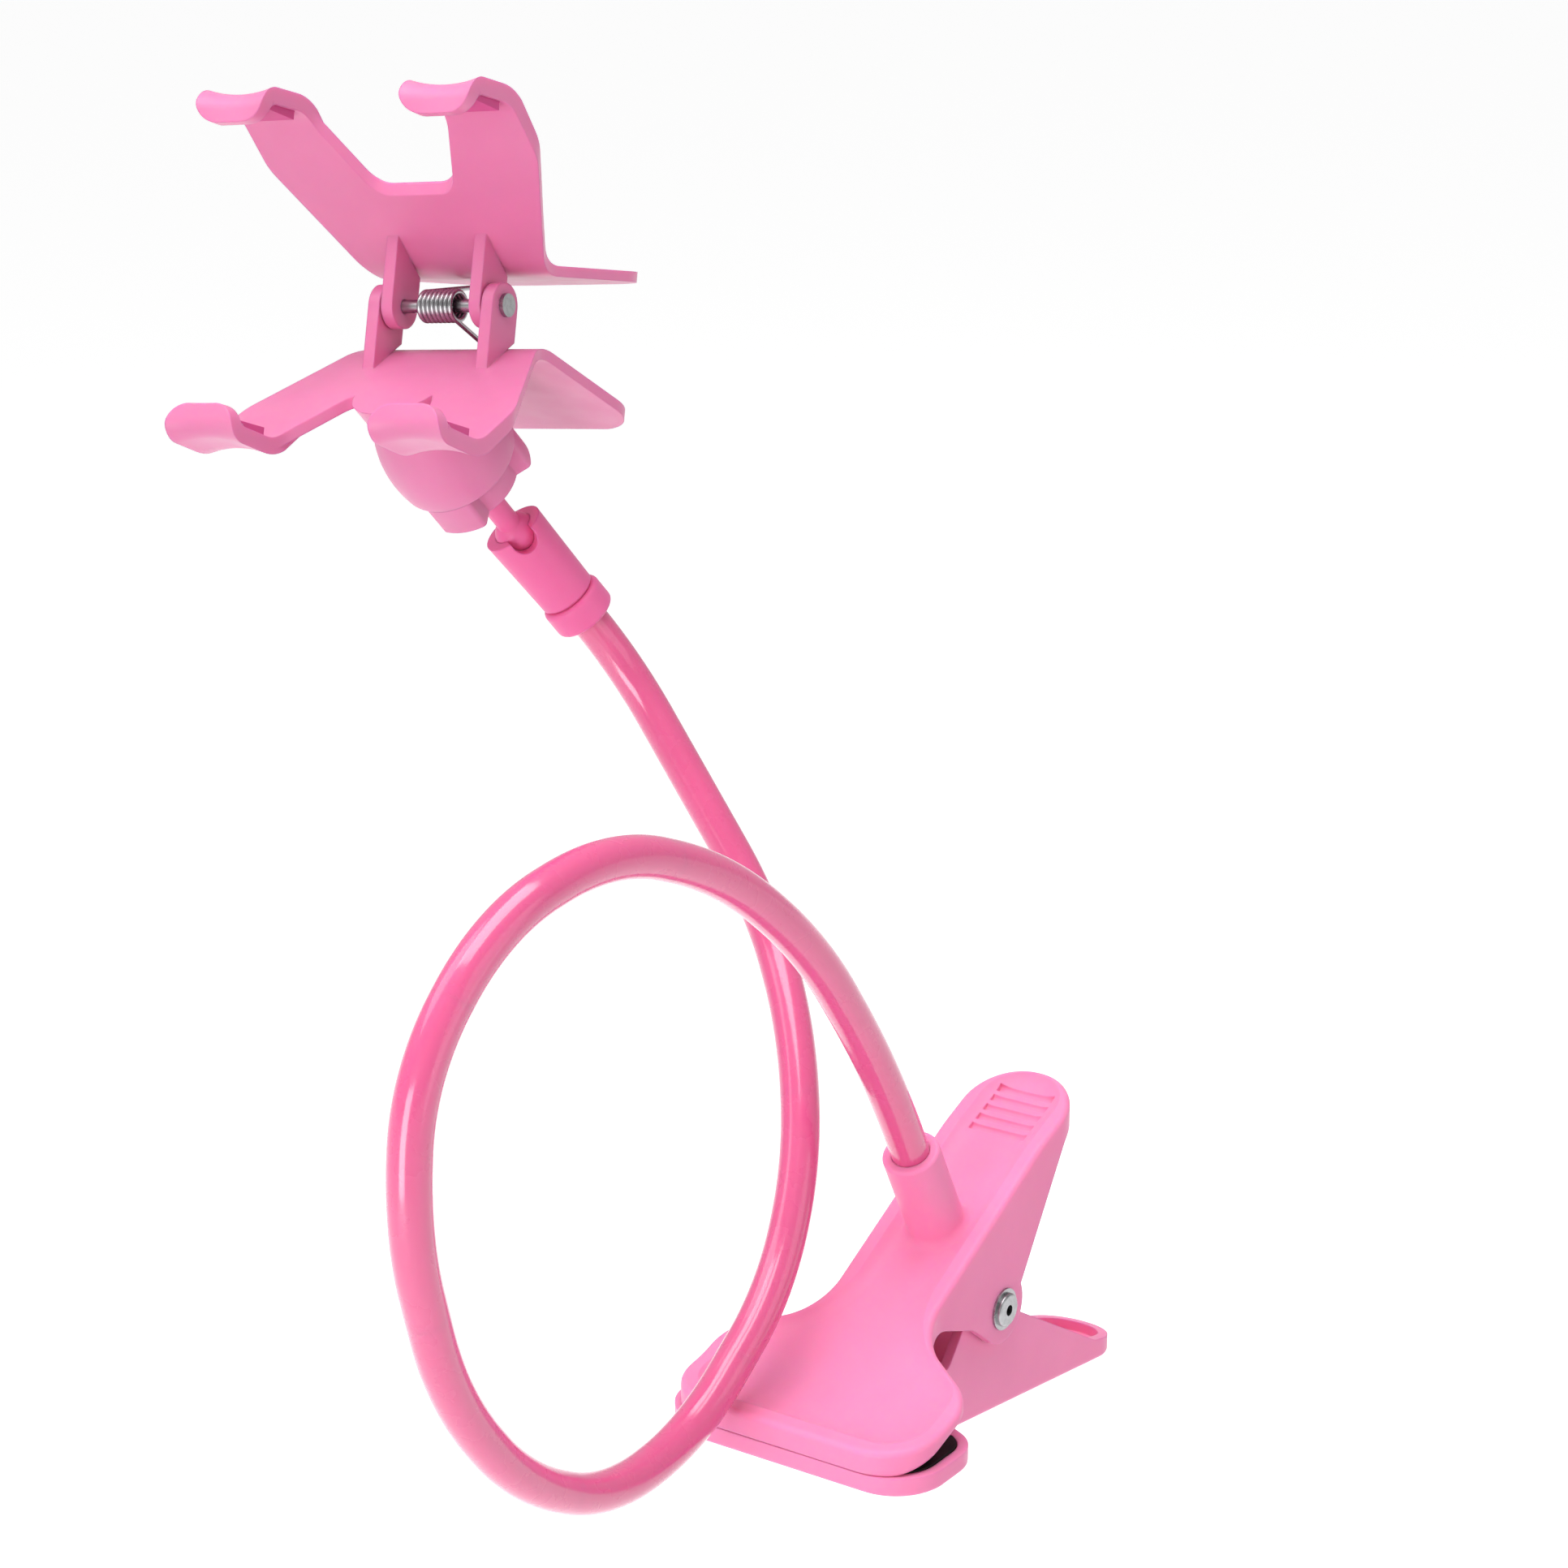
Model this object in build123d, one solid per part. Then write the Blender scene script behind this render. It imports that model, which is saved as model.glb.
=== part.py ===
from build123d import *
import os
from math import acos, atan2, cos, hypot, radians, sin, tan

# Phone gooseneck holder: a spring clamp, a bendable arm in one loop, a ball joint and a claw clip.
# X runs along the clamp's pivot, Y from the jaw tips to the handles, Z up. The origin is at the grip line.

# Clamp, seen from above
JAW_WIDTH = 66.0
LOWER_JAW_WIDTH = 69.5
LOBE_DEPTH = 26.0
LOBE_FRONT_RADIUS = 12.9
LOBE_BACK_RADIUS = 9.5
NECK_Y = 37.0
NECK_RADIUS = 14.0
BODY_WIDTH = 27.4
TIP_SHARE = 0.97
WALL = 2.4
RIM_INSET = 0.4
LEVER_CLEARANCE = 0.4
GRIP_GAP = 0.1
GRIP_LENGTH = 3.0

# Upper lever, seen from the side
FRONT_Z = 5.4
BEND_Y = 19.0
BEND_Z = 7.4
SLOPE = 28.0
HANDLE_BEND_Y = 88.0
HANDLE_SLOPE = 22.0
UPPER_LENGTH = 110.5
DISH = 1.7
DISH_ROUND = 8.0
BACK_ROUND = 1.4
PLATE = 2.0
EDGE = 6.4
BEND_RADIUS = 40.0
SKIRT_START_Y = 44.0
SKIRT_LOW_Y = 59.0
SKIRT_LOW_Z = 8.5
SKIRT_END_Y = 99.0
SKIRT_ROUND = 8.0
GROOVES = 5
GROOVE_PITCH = 3.2
GROOVE_LENGTH = 15.0
GROOVE_RADIUS = 1.1
GROOVE_DEPTH = 0.6
GROOVE_SETBACK = 7.0

# Lower lever, seen from the side
LOWER_LENGTH = 135.0
LOWER_DEPTH = 4.7
BASE_ROUND = 1.4
FLOOR = 2.0
FLOOR_BEND_Y = 30.0
HEEL_Y = 50.0
HEEL_DROP = 10.4
HANDLE_DROP = 22.2
TIP_HEIGHT = 4.6
WALL_FRONT_Y = 53.0
WALL_FRONT_RUN = 6.0
WALL_FRONT_Z = 1.0

# Pivot, spring and pads of the clamp
PIN_Y = 72.0
PIN_Z = 9.0
PIN_RADIUS = 2.5
PIN_BORE = 1.3
PIN_HEAD_RADIUS = 4.0
PIN_HEAD = 1.1
PIN_HEAD_ROUND = 0.6
PIN_FIT = 0.06
WASHER_RADIUS = 5.0
WASHER = 0.5
UPPER_EAR = 8.5
UPPER_EAR_START_ANGLE = 242.0
UPPER_EAR_END_ANGLE = 25.0
LOWER_EAR = 7.4
LOWER_EAR_START_ANGLE = 135.0
LOWER_EAR_END_ANGLE = -25.0
SPRING_WIRE = 1.6
SPRING_RADIUS = 4.6
SPRING_TURNS = 7
TURN_PITCH = 0.97
LEG_SHARE = 0.94
SPRING_SEAT_UPPER_Y = 93.0
SPRING_SEAT_LOWER_Y = 105.0
SEAT_GAP = 0.3
UPPER_PAD_BACK = 15.0
PAD_STAND = 0.2

# Bendable arm: a smooth sleeve over a core that keeps its bend
SLEEVE_RADIUS = 4.5
SLEEVE_WALL = 1.2
CORE_CLEARANCE = 0.3
SOCKET_Y = 63.0
SOCKET_Z = 32.0
SOCKET_RADIUS = 6.75
SOCKET_RISE = 22.5
SOCKET_SINK = 12.0
SOCKET_FLOOR = 3.0
SOCKET_FOOT = 2.6
SOCKET_ROUND = 0.8
GLUE_GAP = 0.05
FIRST_RUN = 60.0
LAST_RUN = 32.0
ARM_GUIDES = [
    (0, 12, 113),
    (-3, -16, 137),
    (-5, -51, 151),
    (-7, -86, 145),
    (-10, -107, 120),
    (-10, -110, 88),
    (-12, -97, 48),
    (-12, -75, 20),
    (-12, -46, 4),
    (-13, -14, 6),
    (-14, 19, 27),
    (-19, 37, 51),
    (-31, 52, 75),
    (-50, 66, 97),
]
ARC_SHARE = 0.48
LINK_CORNERS = 2
LINK_SETBACK = 1.5
LINK_FIT = 0.08

# Head: where the clip stands and how it is turned, and how the arm comes up to it
CLIP_X = -106.3
CLIP_Y = -15.2
CLIP_HEIGHT = 253.1
CLIP_YAW = 6.2
CLIP_ROLL = 5.2
CLIP_TILT = 20.0
ARM_HEADING = 59.0
ARM_DROP_ANGLE = 52.0

# Claw clip, in its own frame: x along the phone, y away from the viewer, z across the phone
PHONE_WIDTH = 67.0
CLAW_SPACING = 53.0
CLAW_WIDTH = 18.0
CLAW_WALL = 2.4
CLAW_HOLLOW = 1.3
LIP = 3.0
LIP_GAP = 0.3
LIP_CORNER = 5.5
PAD_THICKNESS = 1.4
PAD_INSET = 1.0
PAD_LENGTH = 9.0
BULGE_Y = 12.0
BULGE = 2.4
CLIP_PIN_Y = 45.0
WAIST_Z = 7.5
WAIST_Y = 5.0
CLAW_DEPTH = 15.0
WEB_Y = 31.0
WEB_WIDTH = 20.0
SHOULDER_Y = 24.0
PRESS_WIDTH = 46.0
PRESS_LENGTH = 53.0
PRESS_Z = 16.0
PRESS_CORNER = 13.0
INNER_ROUNDS = [1.5, 9.0, 10.0, 14.0]
PLAN_ROUNDS = [6.0, 10.0, 0, 0, 9.0, 20.0, PRESS_CORNER]
CLIP_EAR = 5.0
CLIP_EAR_WIDTH = 3.0
CLIP_EAR_X = 10.2
CLIP_EAR_GAP = 0.4
CLIP_PIN_RADIUS = 1.5
CLIP_PIN_HEAD_RADIUS = 2.6
CLIP_PIN_HEAD = 1.0
CLIP_WIRE = 1.2
CLIP_COIL_RADIUS = 3.2
CLIP_TURNS = 8
CLIP_SEAT_Y = 72.0

# Bell boss, lock ring, ball stud and ball socket, along the bell's axis from its base
BELL_Y = 38.0
BELL_Z = -24.0
BELL_ANGLE = 25.0
BELL_RADIUS = 10.5
BELL_LENGTH = 20.0
BELL_BULGE = 1.8
BELL_SINK = 14.0
MOUTH_RADIUS = 14.4
SPIGOT_RADIUS = 8.6
SPIGOT_LENGTH = 4.5
MOUTH_FLOOR = 0.2
FLANGE_RADIUS = 7.0
FLANGE = 3.2
FLANGE_FIT = 0.3
RING_RADIUS = 10.8
RING_WALL = 4.0
RING_FIT = 0.06
LUGS = 3
LUG_RADIUS = 14.2
LUG_WIDTH = 11.0
LUG_ROUND = 1.2
LUG_ANGLE = 80.0
STUD_RADIUS = 2.75
STUD_CLEARANCE = 0.6
BALL_RADIUS = 5.0
BALL_FIT = 0.05
BALL_REACH = 50.0
CUP_RADIUS = 7.4
CUP_END_RADIUS = 6.8
CUP_LIP = 1.5
CUP_LENGTH = 20.5
CUP_CHAMFER = 0.8
TUBE_SEAT = 11.0
COLLAR_RADIUS = 7.6
COLLAR_LENGTH = 7.0
COLLAR_ROUND = 1.2

FAR = 200.0
UPRIGHT_SHARE = 0.1
OVER = 10.0
FROM_BASE = (Align.CENTER, Align.CENTER, Align.MIN)


def side_plate(face, x_from, x_to):
    """Solid of a side-view face (its x is Y, its y is Z) between two X positions."""
    return extrude(Plane.YZ.offset(x_from) * face, x_to - x_from)


def side_block(face):
    """Side-view face made into a solid that is wider than any piece."""
    return side_plate(face, -FAR, FAR)


def column(face):
    """Top-view face made into a solid that is taller than any piece."""
    return extrude(Plane.XY.offset(-FAR) * face, 2 * FAR)


def outline(points, radii):
    """Closed face with its own corner radius at each point."""
    return make_face(FilletPolyline(*points, radius=radii, close=True))


def mirrored(points, radii):
    """Outline of the right-hand points and their mirror images."""
    left = [(-x, y) for x, y in reversed(points)]
    return outline(points + left, radii + list(reversed(radii)))


def rod(start, end, radius):
    """Round bar between two points."""
    run = Vector(end) - Vector(start)
    return Plane(origin=start, z_dir=run) * Cylinder(radius, run.length, align=FROM_BASE)


def coil(centre, radius, wire, turns, seats):
    """Close-wound torsion spring along X, with a straight leg from each end to its seat."""
    pitch = TURN_PITCH * wire
    first = -pitch * (turns - 1) / 2
    row = Sketch() + [Pos(first + turn * pitch, radius) * Circle(wire / 2) for turn in range(turns)]
    body = Pos(0, *centre) * revolve(Plane.XY * row, Axis.X)
    for x, seat, hand in zip((first, -first), seats, (1, -1)):
        reach = hypot(seat[0] - centre[0], seat[1] - centre[1])
        lean = atan2(seat[1] - centre[1], seat[0] - centre[0]) + hand * acos(radius / reach)
        touch = (x, centre[0] + radius * cos(lean), centre[1] + radius * sin(lean))
        body += rod(touch, (x, *seat), LEG_SHARE * wire / 2)
    return body


def end_edges(block, side):
    """Edges between the walls of an upright column and its upper (1) or lower (-1) end."""
    ends = [face for face in block.faces() if side * face.normal_at().Z > UPRIGHT_SHARE]
    walls = [face for face in block.faces() if abs(face.normal_at().Z) < UPRIGHT_SHARE]
    wall_edges = [edge for wall in walls for edge in wall.edges()]
    end_rim = [edge for end in ends for edge in end.edges()]
    return [edge for edge in end_rim if any(edge.is_same(other) for other in wall_edges)]


def by_pin(radius, angle):
    """Side-view point at a distance and an angle from the clamp's pin."""
    return (PIN_Y + radius * cos(radians(angle)), PIN_Z + radius * sin(radians(angle)))


# Upper lever of the clamp
BODY = BODY_WIDTH / 2
JAW = JAW_WIDTH / 2
rise = tan(radians(SLOPE))
handle_rise = tan(radians(HANDLE_SLOPE))
front_rise = (BEND_Z - FRONT_Z) / BEND_Y
handle_bend_z = BEND_Z + (HANDLE_BEND_Y - BEND_Y) * rise


def back_height(y):
    """Height of the upper lever's back line at y."""
    if y < BEND_Y:
        return FRONT_Z + y * front_rise
    if y < HANDLE_BEND_Y:
        return BEND_Z + (y - BEND_Y) * rise
    return handle_bend_z + (y - HANDLE_BEND_Y) * handle_rise


def below_upper(drop):
    """Side-view face of everything below the back line when that is lowered by drop."""
    line = [(y, back_height(y) - drop) for y in (-OVER, BEND_Y, HANDLE_BEND_Y, UPPER_LENGTH + OVER)]
    points = line + [(UPPER_LENGTH + OVER, -FAR), (-OVER, -FAR)]
    return outline(points, [0, BEND_RADIUS, BEND_RADIUS, 0, 0, 0])


def skirt_point(y):
    """Point on the lower edge of the upper lever's plain skirt."""
    return (y, back_height(y) - EDGE)


upper_right = [(JAW, 0), (JAW, LOBE_DEPTH), (BODY, NECK_Y), (BODY, UPPER_LENGTH)]
upper_plan = mirrored(upper_right, [LOBE_FRONT_RADIUS, LOBE_BACK_RADIUS, NECK_RADIUS, TIP_SHARE * BODY])
upper_low = [
    (-OVER, GRIP_GAP),
    (GRIP_LENGTH, GRIP_GAP),
    skirt_point(SKIRT_START_Y),
    (SKIRT_LOW_Y, SKIRT_LOW_Z),
    by_pin(UPPER_EAR, UPPER_EAR_START_ANGLE),
    (PIN_Y, PIN_Z),
    by_pin(UPPER_EAR, UPPER_EAR_END_ANGLE),
    skirt_point(SKIRT_END_Y),
    skirt_point(UPPER_LENGTH + OVER),
    (UPPER_LENGTH + OVER, FAR),
    (-OVER, FAR),
]
upper_rounds = [0, SKIRT_ROUND, SKIRT_ROUND, SKIRT_ROUND, 0, 0, 0, SKIRT_ROUND, 0, 0, 0]
upper_keep = outline(upper_low, upper_rounds) + Pos(PIN_Y, PIN_Z) * Circle(UPPER_EAR)
upper_block = column(upper_plan) & side_block(below_upper(0))
upper_block = fillet(end_edges(upper_block, 1), BACK_ROUND)
upper_hollow = side_block(below_upper(DISH + PLATE)) & column(offset(upper_plan, -WALL))
upper_dish = column(offset(upper_plan, -RIM_INSET)) - side_block(below_upper(DISH))
upper_dish = fillet(end_edges(upper_dish, -1), DISH_ROUND)

arm_axis = Vector(0, -sin(radians(SLOPE)), cos(radians(SLOPE)))
arm_seat = Vector(0, SOCKET_Y, SOCKET_Z)
socket_bottom = arm_seat - arm_axis * SOCKET_SINK
arm_start = socket_bottom + arm_axis * SOCKET_FLOOR
socket_top = arm_seat + arm_axis * SOCKET_RISE
sleeve_bore = SLEEVE_RADIUS + GLUE_GAP
socket = rod(socket_bottom, socket_top, SOCKET_RADIUS)
socket = fillet(socket.edges().group_by(Axis.Z)[-1], SOCKET_ROUND)
foot_depth = (SOCKET_Z - back_height(SOCKET_Y) + DISH) * cos(radians(SLOPE))
foot_plane = Plane(origin=arm_seat - arm_axis * foot_depth, z_dir=arm_axis)
foot_edge = SOCKET_RADIUS + SOCKET_FOOT
flare = Rectangle(foot_edge, SOCKET_FOOT, align=Align.MIN) - Pos(foot_edge, SOCKET_FOOT) * Circle(SOCKET_FOOT)
socket_foot = foot_plane * revolve(Plane.XZ * flare, Axis.Z)
pin_hole = rod((-FAR, PIN_Y, PIN_Z), (FAR, PIN_Y, PIN_Z), PIN_RADIUS + PIN_FIT)
upper_jaw = (upper_block & side_block(upper_keep)) - upper_hollow - upper_dish + socket + socket_foot
upper_jaw -= rod(arm_start, socket_top + arm_axis, sleeve_bore)
upper_jaw -= pin_hole
for groove in range(GROOVES):
    y = UPPER_LENGTH - GROOVE_SETBACK - groove * GROOVE_PITCH
    z = back_height(y) - DISH + GROOVE_RADIUS - GROOVE_DEPTH
    upper_jaw -= rod((-GROOVE_LENGTH / 2, y, z), (GROOVE_LENGTH / 2, y, z), GROOVE_RADIUS)

# Lower lever of the clamp
LOWER_JAW = LOWER_JAW_WIDTH / 2
LOWER = BODY - WALL - LEVER_CLEARANCE
lower_right = [(LOWER_JAW, 0), (LOWER_JAW, LOBE_DEPTH), (LOWER, NECK_Y), (LOWER, LOWER_LENGTH)]
lower_plan = mirrored(lower_right, [LOBE_FRONT_RADIUS, LOBE_BACK_RADIUS, NECK_RADIUS, TIP_SHARE * LOWER])
handle_fall = (HANDLE_DROP - HEEL_DROP) / (LOWER_LENGTH - HEEL_Y)


def underside(y):
    """Height of the lower lever's handle underside at y."""
    return -LOWER_DEPTH - HEEL_DROP - (y - HEEL_Y) * handle_fall


def above_lower(lift):
    """Side-view face of everything above the lower lever's underside when that is raised by lift."""
    handle_end = LOWER_LENGTH + OVER
    points = [
        (-OVER, lift - LOWER_DEPTH),
        (FLOOR_BEND_Y, lift - LOWER_DEPTH),
        (HEEL_Y, lift + underside(HEEL_Y)),
        (handle_end, lift + underside(handle_end)),
        (handle_end, FAR),
        (-OVER, FAR),
    ]
    return outline(points, [0, BEND_RADIUS, BEND_RADIUS, 0, 0, 0])


lower_tip_z = underside(LOWER_LENGTH) + TIP_HEIGHT
lower_high = [
    (-OVER, -FAR),
    (LOWER_LENGTH + OVER, -FAR),
    (LOWER_LENGTH + OVER, lower_tip_z),
    (LOWER_LENGTH, lower_tip_z),
    by_pin(LOWER_EAR, LOWER_EAR_END_ANGLE),
    (PIN_Y, PIN_Z),
    by_pin(LOWER_EAR, LOWER_EAR_START_ANGLE),
    (SKIRT_LOW_Y, SKIRT_LOW_Z),
    (WALL_FRONT_Y, WALL_FRONT_Z),
    (WALL_FRONT_Y - WALL_FRONT_RUN, -GRIP_GAP),
    (-OVER, -GRIP_GAP),
]
lower_rounds = [0, 0, 0, 0, 0, 0, 0, WALL_FRONT_RUN / 2, WALL_FRONT_RUN / 2, 0, 0]
lower_keep = outline(lower_high, lower_rounds) + Pos(PIN_Y, PIN_Z) * Circle(LOWER_EAR)
lower_block = column(lower_plan) & side_block(above_lower(0))
lower_block = fillet(end_edges(lower_block, -1), BASE_ROUND)
lower_jaw = lower_block & side_block(lower_keep)
lower_jaw -= side_block(above_lower(FLOOR)) & column(offset(lower_plan, -WALL))
lower_jaw -= pin_hole

# Pads of the clamp
pad_strip = Rectangle(FAR, 2 * LOBE_DEPTH)
lower_floor_z = FLOOR - LOWER_DEPTH
lower_pad_plan = offset(lower_plan, -WALL - PAD_STAND) & pad_strip
lower_jaw_pad = extrude(Plane.XY.offset(lower_floor_z) * lower_pad_plan, PAD_STAND - lower_floor_z)
upper_pad_plan = offset(upper_plan, -WALL - PAD_STAND) & Rectangle(FAR, 2 * UPPER_PAD_BACK)
upper_pad_column = extrude(Plane.XY.offset(PAD_STAND + GRIP_GAP) * upper_pad_plan, FAR)
upper_jaw_pad = upper_pad_column & side_block(below_upper(DISH + PLATE))

# Rivet with its two washers, and the spring round it
shank = BODY + WASHER
pivot_rivet = rod((-shank, PIN_Y, PIN_Z), (shank, PIN_Y, PIN_Z), PIN_RADIUS)
pin_head = rod((shank, PIN_Y, PIN_Z), (shank + PIN_HEAD, PIN_Y, PIN_Z), PIN_HEAD_RADIUS)
pin_head = fillet(pin_head.edges().sort_by(Axis.X)[-1], PIN_HEAD_ROUND)
pivot_rivet += [pin_head, mirror(pin_head, Plane.YZ)]
pivot_rivet -= rod((-FAR, PIN_Y, PIN_Z), (FAR, PIN_Y, PIN_Z), PIN_BORE)
washer_right = rod((BODY, PIN_Y, PIN_Z), (shank, PIN_Y, PIN_Z), WASHER_RADIUS) - pin_hole
washer_left = mirror(washer_right, Plane.YZ)

leg_off = SPRING_WIRE / 2 + SEAT_GAP
upper_seat_z = back_height(SPRING_SEAT_UPPER_Y) - DISH - PLATE - leg_off / cos(radians(HANDLE_SLOPE))
lower_seat_z = underside(SPRING_SEAT_LOWER_Y) + FLOOR + leg_off * hypot(1, handle_fall)
clamp_seats = [(SPRING_SEAT_UPPER_Y, upper_seat_z), (SPRING_SEAT_LOWER_Y, lower_seat_z)]
clamp_spring = coil((PIN_Y, PIN_Z), SPRING_RADIUS, SPRING_WIRE, SPRING_TURNS, clamp_seats)

# Frames of the head
head = Pos(CLIP_X, CLIP_Y, CLIP_HEIGHT) * Rot(0, 0, CLIP_YAW) * Rot(0, -CLIP_ROLL, 0) * Rot(-CLIP_TILT, 0, 0)
bell_dir = Vector(0, cos(radians(BELL_ANGLE)), -sin(radians(BELL_ANGLE)))
bell_plane = Plane(origin=(0, BELL_Y, BELL_Z), x_dir=(1, 0, 0), z_dir=bell_dir)
bell = head * bell_plane.location
ball_centre = (bell * Pos(0, 0, BALL_REACH)).position
stud_axis = Plane(bell).z_dir
drop = radians(ARM_DROP_ANGLE)
heading = radians(ARM_HEADING)
cup_axis = Vector(cos(drop) * cos(heading), cos(drop) * sin(heading), -sin(drop))
tilt_axis = stud_axis.cross(cup_axis).normalized()
cup = Plane(origin=ball_centre, x_dir=tilt_axis.cross(cup_axis), z_dir=cup_axis).location

# Bendable arm
arm_end = ball_centre + cup_axis * TUBE_SEAT
guides = [arm_start, arm_start + arm_axis * FIRST_RUN]
guides += [Vector(*point) for point in ARM_GUIDES]
guides += [arm_end + cup_axis * LAST_RUN, arm_end]


def arm_radius(corner):
    """Bend radius at a corner: as large as its two runs allow."""
    back = guides[corner - 1] - guides[corner]
    ahead = guides[corner + 1] - guides[corner]
    turn = radians(180 - back.get_angle(ahead))
    return ARC_SHARE * min(back.length, ahead.length) / tan(turn / 2)


def sweep_round(path, radius):
    """Round bar along a path."""
    return sweep(Plane(origin=path @ 0, z_dir=path % 0) * Circle(radius), path=path)


corners = range(1, len(guides) - 1)
arm_radii = [arm_radius(corner) for corner in corners]
arm_path = FilletPolyline(*guides, radius=arm_radii)
core_radius = SLEEVE_RADIUS - SLEEVE_WALL - CORE_CLEARANCE
gooseneck_sleeve = sweep_round(arm_path, SLEEVE_RADIUS) - sweep_round(arm_path, SLEEVE_RADIUS - SLEEVE_WALL)

link_ends = corners[LINK_CORNERS - 1:-1:LINK_CORNERS]
link_points = [arm_start]
link_points += [(guides[corner] + guides[corner + 1]) / 2 for corner in link_ends]
link_points += [arm_end]
links = []
for index, (start, end) in enumerate(zip(link_points, link_points[1:])):
    first = index * LINK_CORNERS
    bends = guides[first + 1:first + LINK_CORNERS + 1]
    bend_radii = arm_radii[first:first + LINK_CORNERS]
    link = sweep_round(FilletPolyline(start, *bends, end, radius=bend_radii), core_radius)
    if start != arm_start:
        link += Pos(*start) * Sphere(core_radius)
    if end != arm_end:
        along = (end - bends[-1]).normalized()
        link -= rod(end - along * LINK_SETBACK, end + along, SLEEVE_RADIUS)
        link -= Pos(*end) * Sphere(core_radius + LINK_FIT)
    links.append(link)

# Ball socket and collar on the end of the arm, along the socket's axis from the ball's centre
cup_height = CUP_LENGTH + CUP_LIP
socket_base = Pos(0, 0, -CUP_LIP) * Cone(CUP_RADIUS, CUP_END_RADIUS, cup_height, align=FROM_BASE)
socket_base = chamfer(socket_base.edges().group_by(Axis.Z)[-1], CUP_CHAMFER)
notch_radius = STUD_RADIUS + STUD_CLEARANCE / 2
socket_base -= Sphere(BALL_RADIUS + BALL_FIT)
socket_base -= rod((0, 0, 0), (FAR, 0, 0), notch_radius)
socket_base -= Pos(FAR / 2, 0, -FAR / 2) * Box(FAR, 2 * notch_radius, FAR)
socket_base -= rod((0, 0, TUBE_SEAT), (0, 0, FAR), sleeve_bore)
ball_socket = cup * socket_base
collar_base = rod((0, 0, CUP_LENGTH), (0, 0, CUP_LENGTH + COLLAR_LENGTH), COLLAR_RADIUS)
collar_base = fillet(collar_base.edges().filter_by(GeomType.CIRCLE), COLLAR_ROUND)
tube_collar = cup * (collar_base - rod((0, 0, 0), (0, 0, FAR), sleeve_bore))

# Ball stud, held in the bell's mouth by its flange
mouth_floor = BELL_LENGTH + MOUTH_FLOOR
flange_start = mouth_floor + FLANGE_FIT
stud = rod((0, 0, flange_start), (0, 0, flange_start + FLANGE), FLANGE_RADIUS)
stud += rod((0, 0, flange_start), (0, 0, BALL_REACH), STUD_RADIUS)
stud += Pos(0, 0, BALL_REACH) * Sphere(BALL_RADIUS)
ball_stud = bell * stud

# Lock ring: a cup nut over the bell's spigot, with rounded lugs for the fingers
spigot_end = BELL_LENGTH + SPIGOT_LENGTH
cap_floor = spigot_end + FLANGE_FIT
ring_start = BELL_LENGTH + FLANGE_FIT
ring_end = cap_floor + RING_WALL
ring = rod((0, 0, ring_start), (0, 0, ring_end), RING_RADIUS)
lug_reach = rod((0, 0, ring_start), (0, 0, ring_end), LUG_RADIUS)
lug = Pos(0, 0, ring_start) * Box(LUG_RADIUS, LUG_WIDTH, ring_end - ring_start, align=Align.MIN)
lug = fillet((Pos(0, -LUG_WIDTH / 2, 0) * lug & lug_reach).edges().filter_by(Axis.Z), LUG_ROUND)
ring += [Rot(0, 0, LUG_ANGLE + turn * 360 / LUGS) * lug for turn in range(LUGS)]
ring -= rod((0, 0, ring_start), (0, 0, cap_floor), SPIGOT_RADIUS + RING_FIT)
ring -= rod((0, 0, 0), (0, 0, FAR), STUD_RADIUS + STUD_CLEARANCE)
lock_ring = bell * ring

# Claw clip jaws: the upper one in the clip's frame, the lower one its mirror image with the bell
half_phone = PHONE_WIDTH / 2
lip_z = half_phone - LIP
press_y = CLIP_PIN_Y + PRESS_LENGTH
inner_line = [
    (-LIP_GAP, lip_z),
    (-LIP_GAP, half_phone + PAD_THICKNESS),
    (BULGE_Y, half_phone + BULGE),
    (CLIP_PIN_Y - WAIST_Y, 2 * WAIST_Z),
    (CLIP_PIN_Y + WAIST_Y, WAIST_Z),
    (press_y, PRESS_Z),
]


def wall_face(points, radii, thickness):
    """Side-view face of a wall that stands outside the inner line."""
    line = FilletPolyline(*points, radius=radii)
    return make_face(offset(line, thickness, side=Side.LEFT))


claw_in = (CLAW_SPACING - CLAW_WIDTH) / 2
claw_out = (CLAW_SPACING + CLAW_WIDTH) / 2
claw_edge = CLAW_WALL + CLAW_HOLLOW
jaw_front = -LIP_GAP - claw_edge - OVER
clip_right = [
    (WEB_WIDTH / 2, WEB_Y),
    (claw_in, CLAW_DEPTH),
    (claw_in, jaw_front),
    (claw_out, jaw_front),
    (claw_out, SHOULDER_Y),
    (PRESS_WIDTH / 2, CLIP_PIN_Y + WAIST_Y),
    (PRESS_WIDTH / 2, press_y),
]
clip_plan = column(mirrored(clip_right, PLAN_ROUNDS))
jaw_shell = side_block(wall_face(inner_line, INNER_ROUNDS, CLAW_WALL)) & clip_plan
claw_face = wall_face(inner_line[:4], INNER_ROUNDS[:2], claw_edge)
bulge, waist = Vector(*inner_line[2]), Vector(*inner_line[3])
outward = (waist - bulge).normalized().rotate(Axis.Z, 90)
claw_fade = [bulge + outward * claw_edge, waist + outward * CLAW_WALL, waist + outward * claw_edge]
claw_face -= make_face(Polyline(*claw_fade, close=True))
claw_line = Plane.YZ * FilletPolyline(*inner_line[:4], radius=INNER_ROUNDS[:2])
hollow_radius = (CLAW_WIDTH ** 2 / 4 + CLAW_HOLLOW ** 2) / (2 * CLAW_HOLLOW)
hollow_strip = Pos(0, -claw_edge) * Rectangle(CLAW_WIDTH + OVER, 2 * CLAW_HOLLOW)
hollow_arc = Pos(0, -CLAW_WALL - hollow_radius) * Circle(hollow_radius) & hollow_strip
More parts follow.
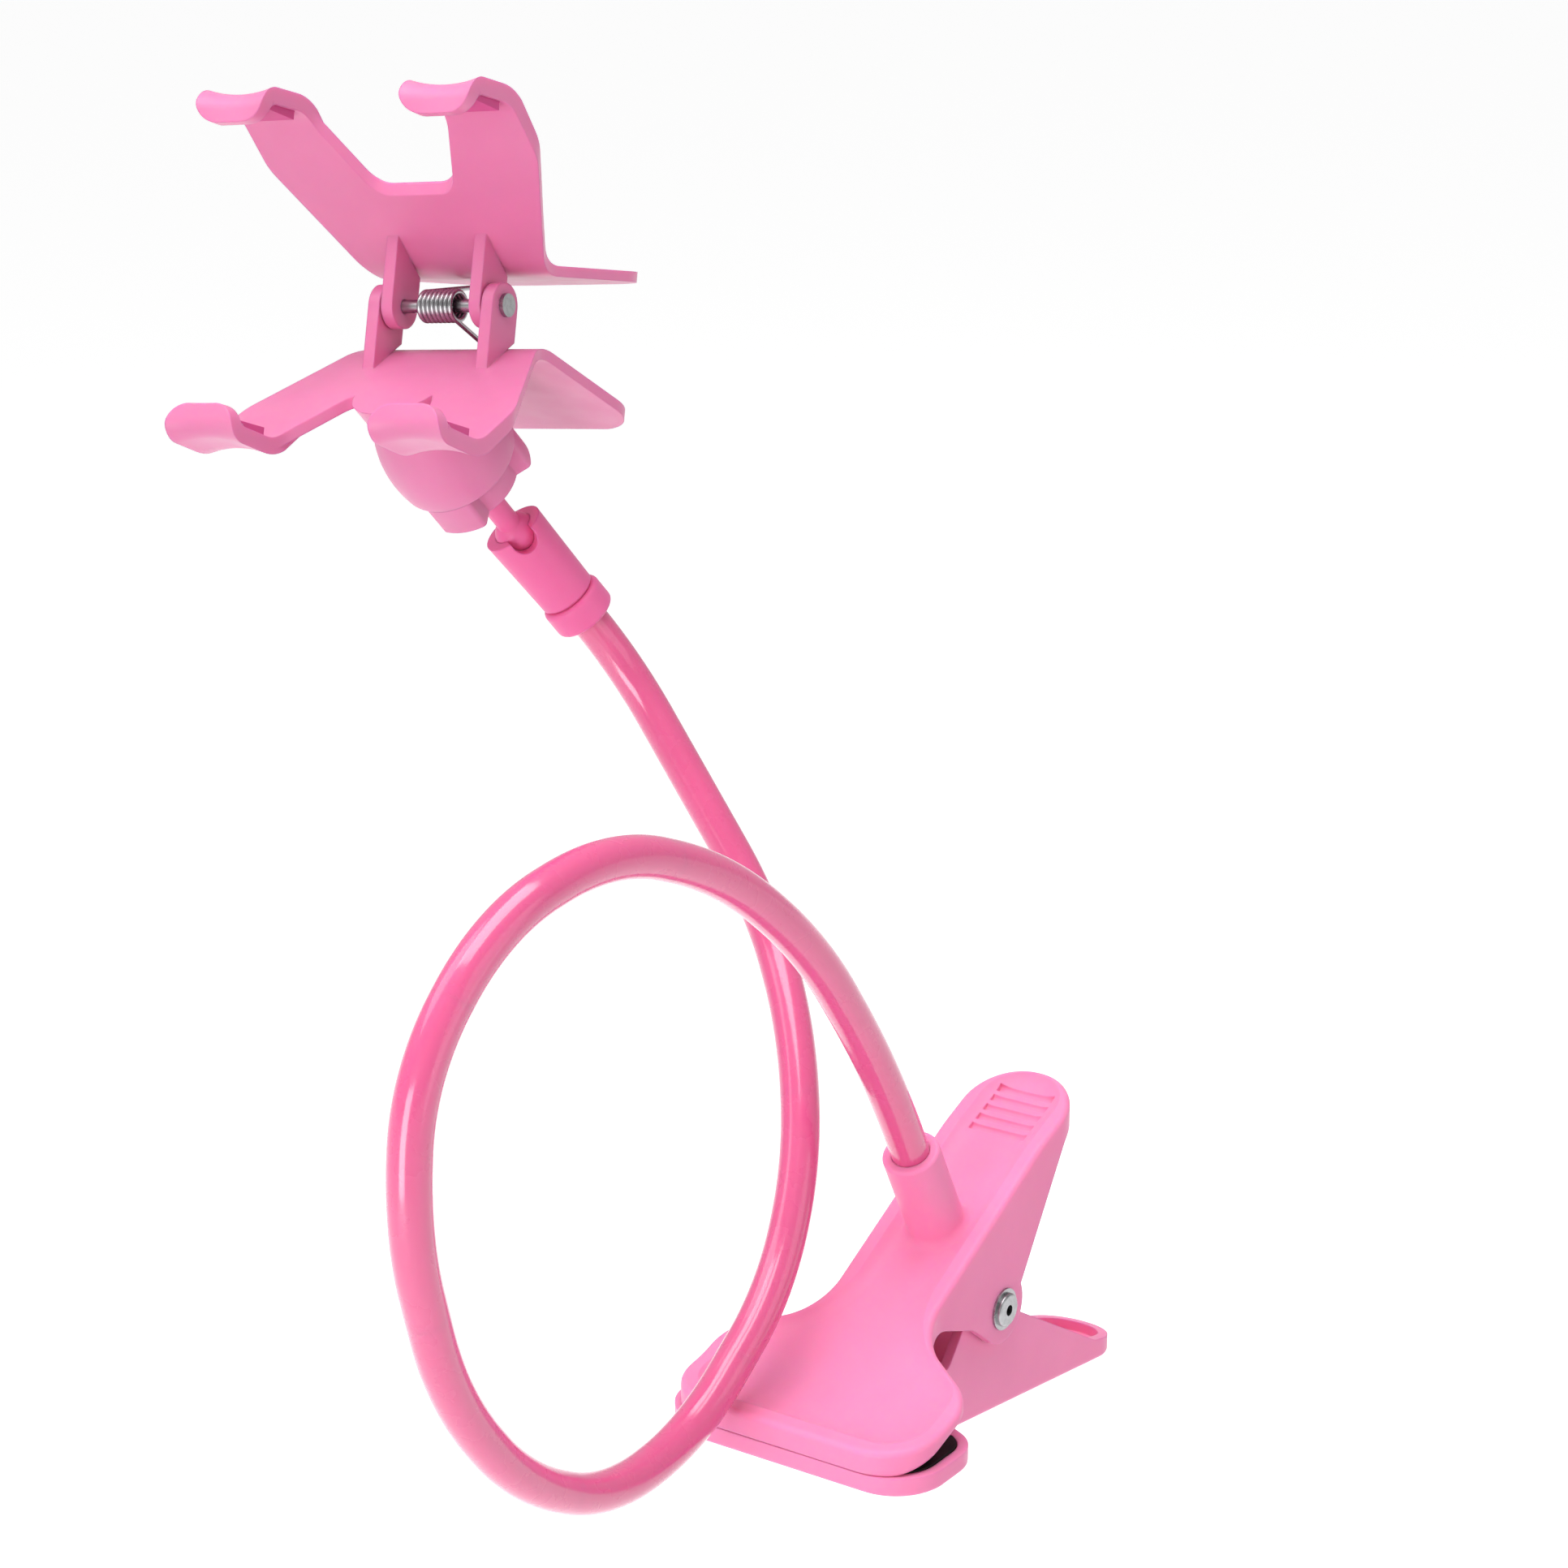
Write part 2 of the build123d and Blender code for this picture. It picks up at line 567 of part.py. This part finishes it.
claw_start = Plane(origin=claw_line @ 0, x_dir=(1, 0, 0), z_dir=claw_line % 0)
claw_hollow = sweep(claw_start * hollow_arc, path=claw_line)
claw_half = CLAW_WIDTH / 2
tongue = outline(
    [(-claw_half, lip_z), (claw_half, lip_z), (claw_half, FAR), (-claw_half, FAR)],
    [LIP_CORNER, LIP_CORNER, 0, 0],
)
for middle in (-CLAW_SPACING / 2, CLAW_SPACING / 2):
    claw = side_plate(claw_face, -claw_half, claw_half) - claw_hollow
    jaw_shell += Pos(middle, 0, 0) * claw & clip_plan
    lip_frame = Rectangle(CLAW_SPACING, FAR) - tongue
    jaw_shell -= Pos(middle, 0, 0) * extrude(Plane.XZ * lip_frame, -jaw_front)


def clip_ears(inner_x):
    """Pair of ears from the upper jaw's waist to the clip's pin."""
    strap = Pos(CLIP_PIN_Y, WAIST_Z) * Rectangle(2 * CLIP_EAR, 2 * WAIST_Z)
    strap += Pos(CLIP_PIN_Y, 0) * Circle(CLIP_EAR)
    strap -= make_face(Polyline(*inner_line[2:], (press_y, FAR), (BULGE_Y, FAR), close=True))
    ear = side_plate(strap, inner_x, inner_x + CLIP_EAR_WIDTH)
    return ear + mirror(ear, Plane.YZ)


clip_bore = rod((-FAR, CLIP_PIN_Y, 0), (FAR, CLIP_PIN_Y, 0), CLIP_PIN_RADIUS + PIN_FIT)
lower_ear_x = CLIP_EAR_X + CLIP_EAR_WIDTH + CLIP_EAR_GAP
clip_upper_jaw = head * (jaw_shell + clip_ears(CLIP_EAR_X) - clip_bore)
lower_shell = mirror(jaw_shell + clip_ears(lower_ear_x) - clip_bore, Plane.XY)

bell_side = ((BELL_RADIUS + MOUTH_RADIUS) / 2 + BELL_BULGE, BELL_LENGTH / 2)
bell_edge = Polyline(
    (BELL_RADIUS, 0),
    (BELL_RADIUS, -BELL_SINK),
    (0, -BELL_SINK),
    (0, spigot_end),
    (SPIGOT_RADIUS, spigot_end),
    (SPIGOT_RADIUS, BELL_LENGTH),
    (MOUTH_RADIUS, BELL_LENGTH),
)
bell_edge += ThreePointArc((MOUTH_RADIUS, BELL_LENGTH), bell_side, (BELL_RADIUS, 0))
bell_body = revolve(Plane.XZ * make_face(bell_edge), Axis.Z)
bell_body -= rod((0, 0, mouth_floor), (0, 0, FAR), FLANGE_RADIUS + FLANGE_FIT)
clip_inside = make_face(Polyline(*inner_line[1:], (press_y, -FAR), (-LIP_GAP, -FAR), close=True))
bell_trimmed = bell_plane.location * bell_body - mirror(side_block(clip_inside), Plane.XY)
clip_lower_jaw = head * (lower_shell + bell_trimmed)

# Pin, spring and pads of the clip
pin_half = lower_ear_x + CLIP_EAR_WIDTH
clip_pin = rod((-pin_half, CLIP_PIN_Y, 0), (pin_half, CLIP_PIN_Y, 0), CLIP_PIN_RADIUS)
clip_head = rod((pin_half, CLIP_PIN_Y, 0), (pin_half + CLIP_PIN_HEAD, CLIP_PIN_Y, 0), CLIP_PIN_HEAD_RADIUS)
clip_pin = head * (clip_pin + [clip_head, mirror(clip_head, Plane.YZ)])
press_rise = (PRESS_Z - WAIST_Z) / (press_y - CLIP_PIN_Y - WAIST_Y)
clip_seat_z = WAIST_Z + (CLIP_SEAT_Y - CLIP_PIN_Y - WAIST_Y) * press_rise - CLIP_WIRE / 2 - SEAT_GAP
clip_seats = [(CLIP_SEAT_Y, clip_seat_z), (CLIP_SEAT_Y, -clip_seat_z)]
clip_spring = head * coil((CLIP_PIN_Y, 0), CLIP_COIL_RADIUS, CLIP_WIRE, CLIP_TURNS, clip_seats)
pad_block = Pos(0, half_phone + PAD_STAND) * Rectangle(PAD_LENGTH, 2 * BULGE, align=Align.MIN)
pad_side = pad_block - wall_face(inner_line[:4], INNER_ROUNDS[:2], 2 * BULGE)

nodes = {
    "upper_jaw": upper_jaw,
    "upper_jaw_pad": upper_jaw_pad,
    "lower_jaw": lower_jaw,
    "lower_jaw_pad": lower_jaw_pad,
    "pivot_rivet": pivot_rivet,
    "washer_left": washer_left,
    "washer_right": washer_right,
    "clamp_spring": clamp_spring,
    "gooseneck_sleeve": gooseneck_sleeve,
    "tube_collar": tube_collar,
    "ball_socket": ball_socket,
    "ball_stud": ball_stud,
    "lock_ring": lock_ring,
    "clip_lower_jaw": clip_lower_jaw,
    "clip_upper_jaw": clip_upper_jaw,
    "clip_pin": clip_pin,
    "clip_spring": clip_spring,
}
for index, link in enumerate(links):
    nodes[f"core_link_{index}"] = link
for name, side in (("left", -1), ("right", 1)):
    middle = side * CLAW_SPACING / 2
    half = CLAW_WIDTH / 2 - PAD_INSET
    pad = side_plate(pad_side, middle - half, middle + half)
    nodes[f"upper_claw_pad_{name}"] = head * pad
    nodes[f"lower_claw_pad_{name}"] = head * mirror(pad, Plane.XY)

os.makedirs("parts", exist_ok=True)
for name, solid in nodes.items():
    export_step(solid, f"parts/{name}.step")
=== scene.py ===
import math

import bmesh
import bpy
from mathutils import Matrix, Vector


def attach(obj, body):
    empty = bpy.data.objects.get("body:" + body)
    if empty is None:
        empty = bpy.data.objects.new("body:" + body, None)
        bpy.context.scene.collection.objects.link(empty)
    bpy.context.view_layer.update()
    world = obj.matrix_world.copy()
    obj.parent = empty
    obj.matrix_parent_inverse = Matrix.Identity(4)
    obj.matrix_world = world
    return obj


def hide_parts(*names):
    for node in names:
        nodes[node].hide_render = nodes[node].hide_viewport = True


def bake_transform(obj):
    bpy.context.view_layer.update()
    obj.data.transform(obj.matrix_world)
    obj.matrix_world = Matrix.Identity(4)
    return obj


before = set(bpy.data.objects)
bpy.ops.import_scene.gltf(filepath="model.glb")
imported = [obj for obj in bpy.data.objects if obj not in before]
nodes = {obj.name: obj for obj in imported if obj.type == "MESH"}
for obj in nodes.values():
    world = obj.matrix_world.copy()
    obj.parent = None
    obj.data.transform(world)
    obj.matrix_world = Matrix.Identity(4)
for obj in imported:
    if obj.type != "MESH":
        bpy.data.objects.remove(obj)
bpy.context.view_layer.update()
scene = bpy.context.scene

# Arm, in metres in the frame of the part; the guides are the corners of its rounded route
SLEEVE_RADIUS = 0.0045
SLEEVE_STEP = 0.001
SLEEVE_SIDES = 48
BENDS = 7
ARC_SHARE = 0.48
ARM_GUIDES = [
    (0.0, 0.067225, 0.024053),
    (0.0, 0.039057, 0.077030),
    (0.0, 0.012, 0.113),
    (-0.003, -0.016, 0.137),
    (-0.005, -0.051, 0.151),
    (-0.007, -0.086, 0.145),
    (-0.010, -0.107, 0.120),
    (-0.010, -0.110, 0.088),
    (-0.012, -0.097, 0.048),
    (-0.012, -0.075, 0.020),
    (-0.012, -0.046, 0.004),
    (-0.013, -0.014, 0.006),
    (-0.014, 0.019, 0.027),
    (-0.019, 0.037, 0.051),
    (-0.031, 0.052, 0.075),
    (-0.050, 0.066, 0.097),
    (-0.093065, 0.070674, 0.148603),
    (-0.103212, 0.053787, 0.173819),
]

# Sunk edge of the lower handle, each point its place along y and its height
LEVER_EDGE = [(0.081, 0.00475), (0.121, -0.0192), (0.14, -0.02381)]
LEVER_CREASE_DEGREES = 30.0
CLOSE = 0.000002

# Springs: node, hinge, thickness of the wire, and the way along the axis from the parent's leg to the child's
SPRINGS = [
    ("clamp_spring", "clamp_hinge", 0.0016, 1),
    ("clip_spring", "clip_hinge", 0.0012, -1),
]

# Texture of the materials: noise cells over a metre, and heights in metres
CLOUD_SCALE = 60
PATCH_SCALE = 140
GRAIN_SCALE = 2600
GRAIN_HEIGHT = 0.0001
STREAK_SCALE = 900
STREAK_DARK = 0.8
PLASTIC_ROUGH_SPREAD = 0.05
METAL_ROUGH_SPREAD = 0.06
PLASTIC_INDEX = 1.46
LIGHT_REACH = (1.0, 0.12, 0.5)
BEVEL_SAMPLES = 6
MOULDED = {"shift": 0.02, "rough": 0.36, "grain": 0.06, "edge": 0.0006, "depth": 0.35, "reach": 0.003}

# Stage and camera
FLOOR_HEIGHT = -0.35
FLOOR_HALF = 14.0
FLOOR_GREY = 0.8
FLOOR_ROUGH = 0.9
FLOOR_GLOW = 0.58
WORLD_STRENGTH = 0.48
LAMP_AIM = (-0.03, 0, 0.1)
CAMERA_PLACE = (0.4071, -0.5905, 0.3716)
CAMERA_AZIMUTH_DEGREES = 34.5
CAMERA_DOWN_DEGREES = 17.0
CAMERA_LENS_MM = 83.1
CAMERA_SENSOR_MM = 36.0
CAMERA_NEAR = 0.01


def add(name, data):
    """New object of the scene."""
    made = bpy.data.objects.new(name, data)
    scene.collection.objects.link(made)
    return made


# Materials
def linear(red, green, blue):
    """Linear colour of a display colour given in steps of 0 to 255."""
    parts = [value / 255 for value in (red, green, blue)]
    return tuple(p / 12.92 if p <= 0.04045 else ((p + 0.055) / 1.055) ** 2.4 for p in parts)


def surface(name):
    """New material, its nodes, its links and its main shader."""
    material = bpy.data.materials.new(name)
    material.use_nodes = True
    tree = material.node_tree
    return material, tree.nodes, tree.links, tree.nodes["Principled BSDF"]


def noise(tree_nodes, links, vector, scale, detail):
    """Noise value, near one half, over these coordinates."""
    node = tree_nodes.new("ShaderNodeTexNoise")
    node.inputs["Scale"].default_value = scale
    node.inputs["Detail"].default_value = detail
    links.new(vector, node.inputs["Vector"])
    return node.outputs["Fac"]


def ramp(tree_nodes, links, source, low, high):
    """Blend of two colours by a value near one half."""
    node = tree_nodes.new("ShaderNodeValToRGB")
    node.color_ramp.elements[0].position = 0.35
    node.color_ramp.elements[1].position = 0.65
    node.color_ramp.elements[0].color = (*low, 1)
    node.color_ramp.elements[1].color = (*high, 1)
    links.new(source, node.inputs["Fac"])
    return node.outputs["Color"]


def spread(tree_nodes, links, source, middle, reach):
    """Value near one half stretched to a range round a middle."""
    node = tree_nodes.new("ShaderNodeMapRange")
    node.inputs["From Min"].default_value = 0.3
    node.inputs["From Max"].default_value = 0.7
    node.inputs["To Min"].default_value = middle - reach
    node.inputs["To Max"].default_value = middle + reach
    links.new(source, node.inputs["Value"])
    return node.outputs["Result"]


def plastic(name, colour, shift, rough, grain, edge, shine, depth, reach):
    """Plastic with a cloudy tint, an uneven gloss, a fine grain, softened edges and some light let in."""
    material, tree_nodes, links, main = surface(name)
    place = tree_nodes.new("ShaderNodeTexCoord").outputs["Object"]
    cloud = noise(tree_nodes, links, place, CLOUD_SCALE, 3)
    low = [value * (1 - shift) for value in linear(*colour)]
    high = [min(1, value * (1 + shift)) for value in linear(*colour)]
    links.new(ramp(tree_nodes, links, cloud, low, high), main.inputs["Base Color"])
    patch = noise(tree_nodes, links, place, PATCH_SCALE, 4)
    gloss = spread(tree_nodes, links, patch, rough, PLASTIC_ROUGH_SPREAD)
    links.new(gloss, main.inputs["Roughness"])
    bump = tree_nodes.new("ShaderNodeBump")
    bump.inputs["Strength"].default_value = grain
    bump.inputs["Distance"].default_value = GRAIN_HEIGHT
    links.new(noise(tree_nodes, links, place, GRAIN_SCALE, 2), bump.inputs["Height"])
    if edge:
        bevel = tree_nodes.new("ShaderNodeBevel")
        bevel.samples = BEVEL_SAMPLES
        bevel.inputs["Radius"].default_value = edge
        links.new(bevel.outputs["Normal"], bump.inputs["Normal"])
    links.new(bump.outputs["Normal"], main.inputs["Normal"])
    main.inputs["IOR"].default_value = PLASTIC_INDEX
    main.inputs["Subsurface Weight"].default_value = depth
    main.inputs["Subsurface Radius"].default_value = LIGHT_REACH
    main.inputs["Subsurface Scale"].default_value = reach
    main.inputs["Specular IOR Level"].default_value = shine
    return material


def glaze(material, weight, index, rough):
    """Adds a clear gloss over a plastic."""
    main = material.node_tree.nodes["Principled BSDF"]
    main.inputs["Coat Weight"].default_value = weight
    main.inputs["Coat IOR"].default_value = index
    main.inputs["Coat Roughness"].default_value = rough


def metal(name, colour, rough, stretch):
    """Drawn or turned metal: fine streaks along one direction."""
    material, tree_nodes, links, main = surface(name)
    place = tree_nodes.new("ShaderNodeTexCoord")
    squeeze = tree_nodes.new("ShaderNodeMapping")
    squeeze.inputs["Scale"].default_value = stretch
    links.new(place.outputs["Object"], squeeze.inputs["Vector"])
    streak = noise(tree_nodes, links, squeeze.outputs["Vector"], STREAK_SCALE, 3)
    high = linear(*colour)
    low = [value * STREAK_DARK for value in high]
    links.new(ramp(tree_nodes, links, streak, low, high), main.inputs["Base Color"])
    gloss = spread(tree_nodes, links, streak, rough, METAL_ROUGH_SPREAD)
    links.new(gloss, main.inputs["Roughness"])
    main.inputs["Metallic"].default_value = 1.0
    return material


shell_pink = plastic("shell_pink", (246, 140, 184), shine=0.15, **MOULDED)
# The clip's pink is darker than the shell's as painted shade: it stands in for the lesser light on the clip's
# front faces.
clip_pink_painted_shade = plastic("clip_pink_painted_shade", (220, 124, 168), shine=0.45, **MOULDED)
socket_pink = plastic("socket_pink", (234, 110, 164), shine=0.25, **MOULDED)
sleeve_pink = plastic(
    "sleeve_pink", (222, 88, 141),
    shift=0.015, rough=0.28, grain=0.03, edge=0, shine=0.3, depth=0.3, reach=0.004,
)
glaze(sleeve_pink, weight=1.0, index=1.6, rough=0.14)
pad_black = plastic(
    "pad_black", (13, 13, 14),
    shift=0.1, rough=0.6, grain=0.3, edge=0.0004, shine=0.3, depth=0, reach=0.001,
)
claw_pink = plastic(
    "claw_pink", (206, 84, 142),
    shift=0.04, rough=0.6, grain=0.3, edge=0.0003, shine=0.3, depth=0.2, reach=0.002,
)
steel = metal("steel", (176, 176, 178), rough=0.3, stretch=(0.1, 1, 1))
alloy = metal("alloy", (190, 192, 196), rough=0.4, stretch=(1, 1, 0.1))

STEEL_NODES = ("pivot_rivet", "washer_left", "washer_right", "clamp_spring", "clip_spring", "clip_pin")
SOCKET_NODES = ("ball_socket", "tube_collar", "ball_stud")


def finish_of(name):
    """Material of a CAD node."""
    if name in ("lower_jaw_pad", "upper_jaw_pad"):
        return pad_black
    if "claw_pad" in name:
        return claw_pink
    if name in STEEL_NODES:
        return steel
    if name.startswith("core_link"):
        return alloy
    if name in SOCKET_NODES:
        return socket_pink
    # Clip parts take the darker pink, which is painted shade.
    if name.startswith("clip") or name == "lock_ring":
        return clip_pink_painted_shade
    return shell_pink


for name, node in nodes.items():
    node.data.materials.clear()
    node.data.materials.append(finish_of(name))


# Sleeve of the arm, built as a tube in pieces
def straight(start, end):
    """Points after the start of a straight run, up to and with its end."""
    steps = max(1, round((end - start).length / SLEEVE_STEP))
    return [start.lerp(end, step / steps) for step in range(1, steps + 1)]


def arm_line(guides):
    """Points along the arm's straight runs and arcs, and the index of each run's middle point."""
    points = [Vector(guides[0])]
    middles = []
    for previous, current, following in zip(guides, guides[1:], guides[2:]):
        corner = Vector(current)
        back = Vector(previous) - corner
        ahead = Vector(following) - corner
        setback = ARC_SHARE * min(back.length, ahead.length)
        turn = math.pi - back.angle(ahead)
        radius = setback / math.tan(turn / 2)
        first = corner + back.normalized() * setback
        inward = (back.normalized() + ahead.normalized()).normalized()
        centre = corner + inward * radius / math.cos(turn / 2)
        axis = (first - centre).cross(-back)
        begin = len(points) - 1
        points += straight(points[-1], first)
        middles.append((begin + len(points) - 1) // 2)
        steps = math.ceil(radius * turn / SLEEVE_STEP)
        for step in range(1, steps + 1):
            swing = Matrix.Rotation(turn * step / steps, 3, axis)
            points.append(centre + swing @ (first - centre))
    points += straight(points[-1], Vector(guides[-1]))
    return points, middles


def rings(points):
    """One ring of points round each point of the line, without twist."""
    side = Vector((1, 0, 0))
    last = len(points) - 1
    result = []
    for index, point in enumerate(points):
        along = (points[min(index + 1, last)] - points[max(index - 1, 0)]).normalized()
        side = (side - along * side.dot(along)).normalized()
        other = along.cross(side)
        ring = []
        for number in range(SLEEVE_SIDES):
            angle = 2 * math.pi * number / SLEEVE_SIDES
            ring.append(point + (side * math.cos(angle) + other * math.sin(angle)) * SLEEVE_RADIUS)
        result.append(ring)
    return result


def tube(name, ring_list, material):
    """Open tube through a list of rings."""
    verts = [point for ring in ring_list for point in ring]
    faces = []
    for row in range(len(ring_list) - 1):
        low, high = row * SLEEVE_SIDES, (row + 1) * SLEEVE_SIDES
        for number in range(SLEEVE_SIDES):
            after = (number + 1) % SLEEVE_SIDES
            faces.append((low + number, low + after, high + after, high + number))
    mesh = bpy.data.meshes.new(name)
    mesh.from_pydata(verts, [], faces)
    mesh.polygons.foreach_set("use_smooth", [True] * len(faces))
    mesh.materials.append(material)
    return add(name, mesh)


# Each joint lies in the middle of a run, and the sleeve's pieces meet in the runs between the joints
line, middles = arm_line(ARM_GUIDES)
ring_list = rings(line)
cuts = [0] + middles[3:-1:2] + [len(line) - 1]
for number in range(1, BENDS + 1):
    piece = tube(f"sleeve_{number}", ring_list[cuts[number - 1]:cuts[number] + 1], sleeve_pink)
    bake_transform(piece)
    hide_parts("gooseneck_sleeve")


# Lower clamp lever, its handle an open channel whose walls sink towards the tip
def split(work, faces, place, direction):
    """Cuts these faces along a plane and keeps both sides."""
    geometry = set(faces)
    for face in faces:
        geometry.update(face.edges)
        geometry.update(face.verts)
    bmesh.ops.bisect_plane(work, geom=list(geometry), plane_co=place, plane_no=direction)


def between(work, near, far):
    """Faces whose middle lies between two places along the handle."""
    return [face for face in work.faces if near < face.calc_center_median().y < far]


def close_rim(work, near, far, place, upward):
    """Fills the open edges that a cut left in its plane."""
    edges = []
    for edge in work.edges:
        flat = all(abs((vert.co - place).dot(upward)) < CLOSE for vert in edge.verts)
        within = all(near - CLOSE < vert.co.y < far + CLOSE for vert in edge.verts)
        if flat and within and len(edge.link_faces) < 2:
            edges.append(edge)
    bmesh.ops.triangle_fill(work, edges=edges, use_beauty=True)


def sunk_lever(source, name):
    """Copy of the lever's mesh without what stands above the sunk edge of its handle."""
    mesh = source.data.copy()
    mesh.name = name
    work = bmesh.new()
    work.from_mesh(mesh)
    bmesh.ops.remove_doubles(work, verts=work.verts, dist=CLOSE)
    runs = []
    for (near, high), (far, low) in zip(LEVER_EDGE, LEVER_EDGE[1:]):
        place = Vector((0, near, high))
        runs.append((near, far, place, Vector((0, high - low, far - near)).normalized()))
        split(work, work.faces[:], place, Vector((0, 1, 0)))
    for near, far, place, upward in runs:
        split(work, between(work, near, far), place, upward)
        inside = between(work, near, far)
        above = [face for face in inside if (face.calc_center_median() - place).dot(upward) > CLOSE]
        bmesh.ops.delete(work, geom=above, context="FACES")
    bmesh.ops.remove_doubles(work, verts=work.verts, dist=CLOSE)
    knee = Vector((0, *LEVER_EDGE[1]))
    rim = []
    for vert in work.verts:
        if vert.is_boundary and abs(vert.co.y - knee.y) < CLOSE and abs(vert.co.z - knee.z) < CLOSE:
            rim.append(vert)
    rim.sort(key=lambda vert: vert.co.x)
    for first, second in zip(rim[0::2], rim[1::2]):
        work.edges.new((first, second))
    for near, far, place, upward in runs:
        close_rim(work, near, far, place, upward)
    bmesh.ops.recalc_face_normals(work, faces=work.faces)
    work.to_mesh(mesh)
    work.free()
    if "custom_normal" in mesh.attributes:
        mesh.attributes.remove(mesh.attributes["custom_normal"])
    mesh.polygons.foreach_set("use_smooth", [True] * len(mesh.polygons))
    mesh.set_sharp_from_angle(angle=math.radians(LEVER_CREASE_DEGREES))
    return add(name, mesh)


lever = sunk_lever(nodes["lower_jaw"], "lower_lever_shell")
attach(lever, "lower_lever")
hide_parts("lower_jaw")

# Torsion springs, whose legs press the two bodies apart; each spring's mesh is copied into a wire piece of
# its own
for name, hinge, wire, side in SPRINGS:
    mesh = nodes[name].data.copy()
    mesh.name = f"{name}_wire"
    piece = add(mesh.name, mesh)
    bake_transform(piece)
    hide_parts(name)


# Stage: a wide pale floor that keeps its shadows, and looks white where it is seen or mirrored
def sum_of(tree_nodes, links, first, second):
    """Sum of two values, at most 1."""
    node = tree_nodes.new("ShaderNodeMath")
    node.operation = "ADD"
    node.use_clamp = True
    links.new(first, node.inputs[0])
    links.new(second, node.inputs[1])
    return node.outputs["Value"]


def floor_white():
    """Matt grey for the light that it gives back, with a glow for rays that look at it."""
    material, tree_nodes, links, main = surface("floor_white")
    main.inputs["Base Color"].default_value = (FLOOR_GREY, FLOOR_GREY, FLOOR_GREY, 1)
    main.inputs["Roughness"].default_value = FLOOR_ROUGH
    glow = tree_nodes.new("ShaderNodeEmission")
    glow.inputs["Color"].default_value = (1, 1, 1, 1)
    glow.inputs["Strength"].default_value = FLOOR_GLOW
    total = tree_nodes.new("ShaderNodeAddShader")
    links.new(main.outputs["BSDF"], total.inputs[0])
    links.new(glow.outputs["Emission"], total.inputs[1])
    path = tree_nodes.new("ShaderNodeLightPath").outputs
    seen = sum_of(tree_nodes, links, path["Is Camera Ray"], path["Is Glossy Ray"])
    clear = sum_of(tree_nodes, links, seen, path["Is Transmission Ray"])
    choice = tree_nodes.new("ShaderNodeMixShader")
    links.new(clear, choice.inputs["Fac"])
    links.new(main.outputs["BSDF"], choice.inputs[1])
    links.new(total.outputs["Shader"], choice.inputs[2])
    links.new(choice.outputs["Shader"], tree_nodes["Material Output"].inputs["Surface"])
    return material


half = FLOOR_HALF
floor_mesh = bpy.data.meshes.new("floor")
corners = [(-half, -half, 0), (half, -half, 0), (half, half, 0), (-half, half, 0)]
floor_mesh.from_pydata(corners, [], [(0, 1, 2, 3)])
floor_mesh.materials.append(floor_white())
floor = add("floor", floor_mesh)
floor.location = (0, 0, FLOOR_HEIGHT)

world = bpy.data.worlds.new("studio")
scene.world = world
world.use_nodes = True
sky = world.node_tree.nodes["Background"]
sky.inputs["Color"].default_value = (1, 1, 1, 1)
sky.inputs["Strength"].default_value = WORLD_STRENGTH


def softbox(name, place, target, width, height, power):
    """Large rectangular lamp that looks at a point."""
    lamp = bpy.data.lights.new(name, "AREA")
    lamp.shape = "RECTANGLE"
    lamp.size = width
    lamp.size_y = height
    lamp.energy = power
    holder = add(name, lamp)
    holder.location = place
    holder.rotation_euler = (Vector(target) - Vector(place)).to_track_quat("-Z", "Y").to_euler()


softbox("strip", (0.04, -1.15, 0.02), LAMP_AIM, width=0.5, height=0.7, power=6)
softbox("key", (-0.95, -0.62, 1.24), LAMP_AIM, width=1.0, height=1.0, power=6)
softbox("top", (0.0, -0.15, 1.4), (0.0, 0, 0.1), width=1.0, height=1.2, power=17)
softbox("right", (1.3, 0.1, 0.3), LAMP_AIM, width=1.0, height=1.0, power=2.5)

# Camera at the photo's angle
camera_data = bpy.data.cameras.new("camera")
camera_data.sensor_width = CAMERA_SENSOR_MM
camera_data.lens = CAMERA_LENS_MM
camera_data.clip_start = CAMERA_NEAR
camera = add("camera", camera_data)
camera.location = CAMERA_PLACE
tilt = math.radians(90 - CAMERA_DOWN_DEGREES)
camera.rotation_euler = (tilt, 0, math.radians(CAMERA_AZIMUTH_DEGREES))
scene.camera = camera
scene.view_settings.view_transform = "Standard"
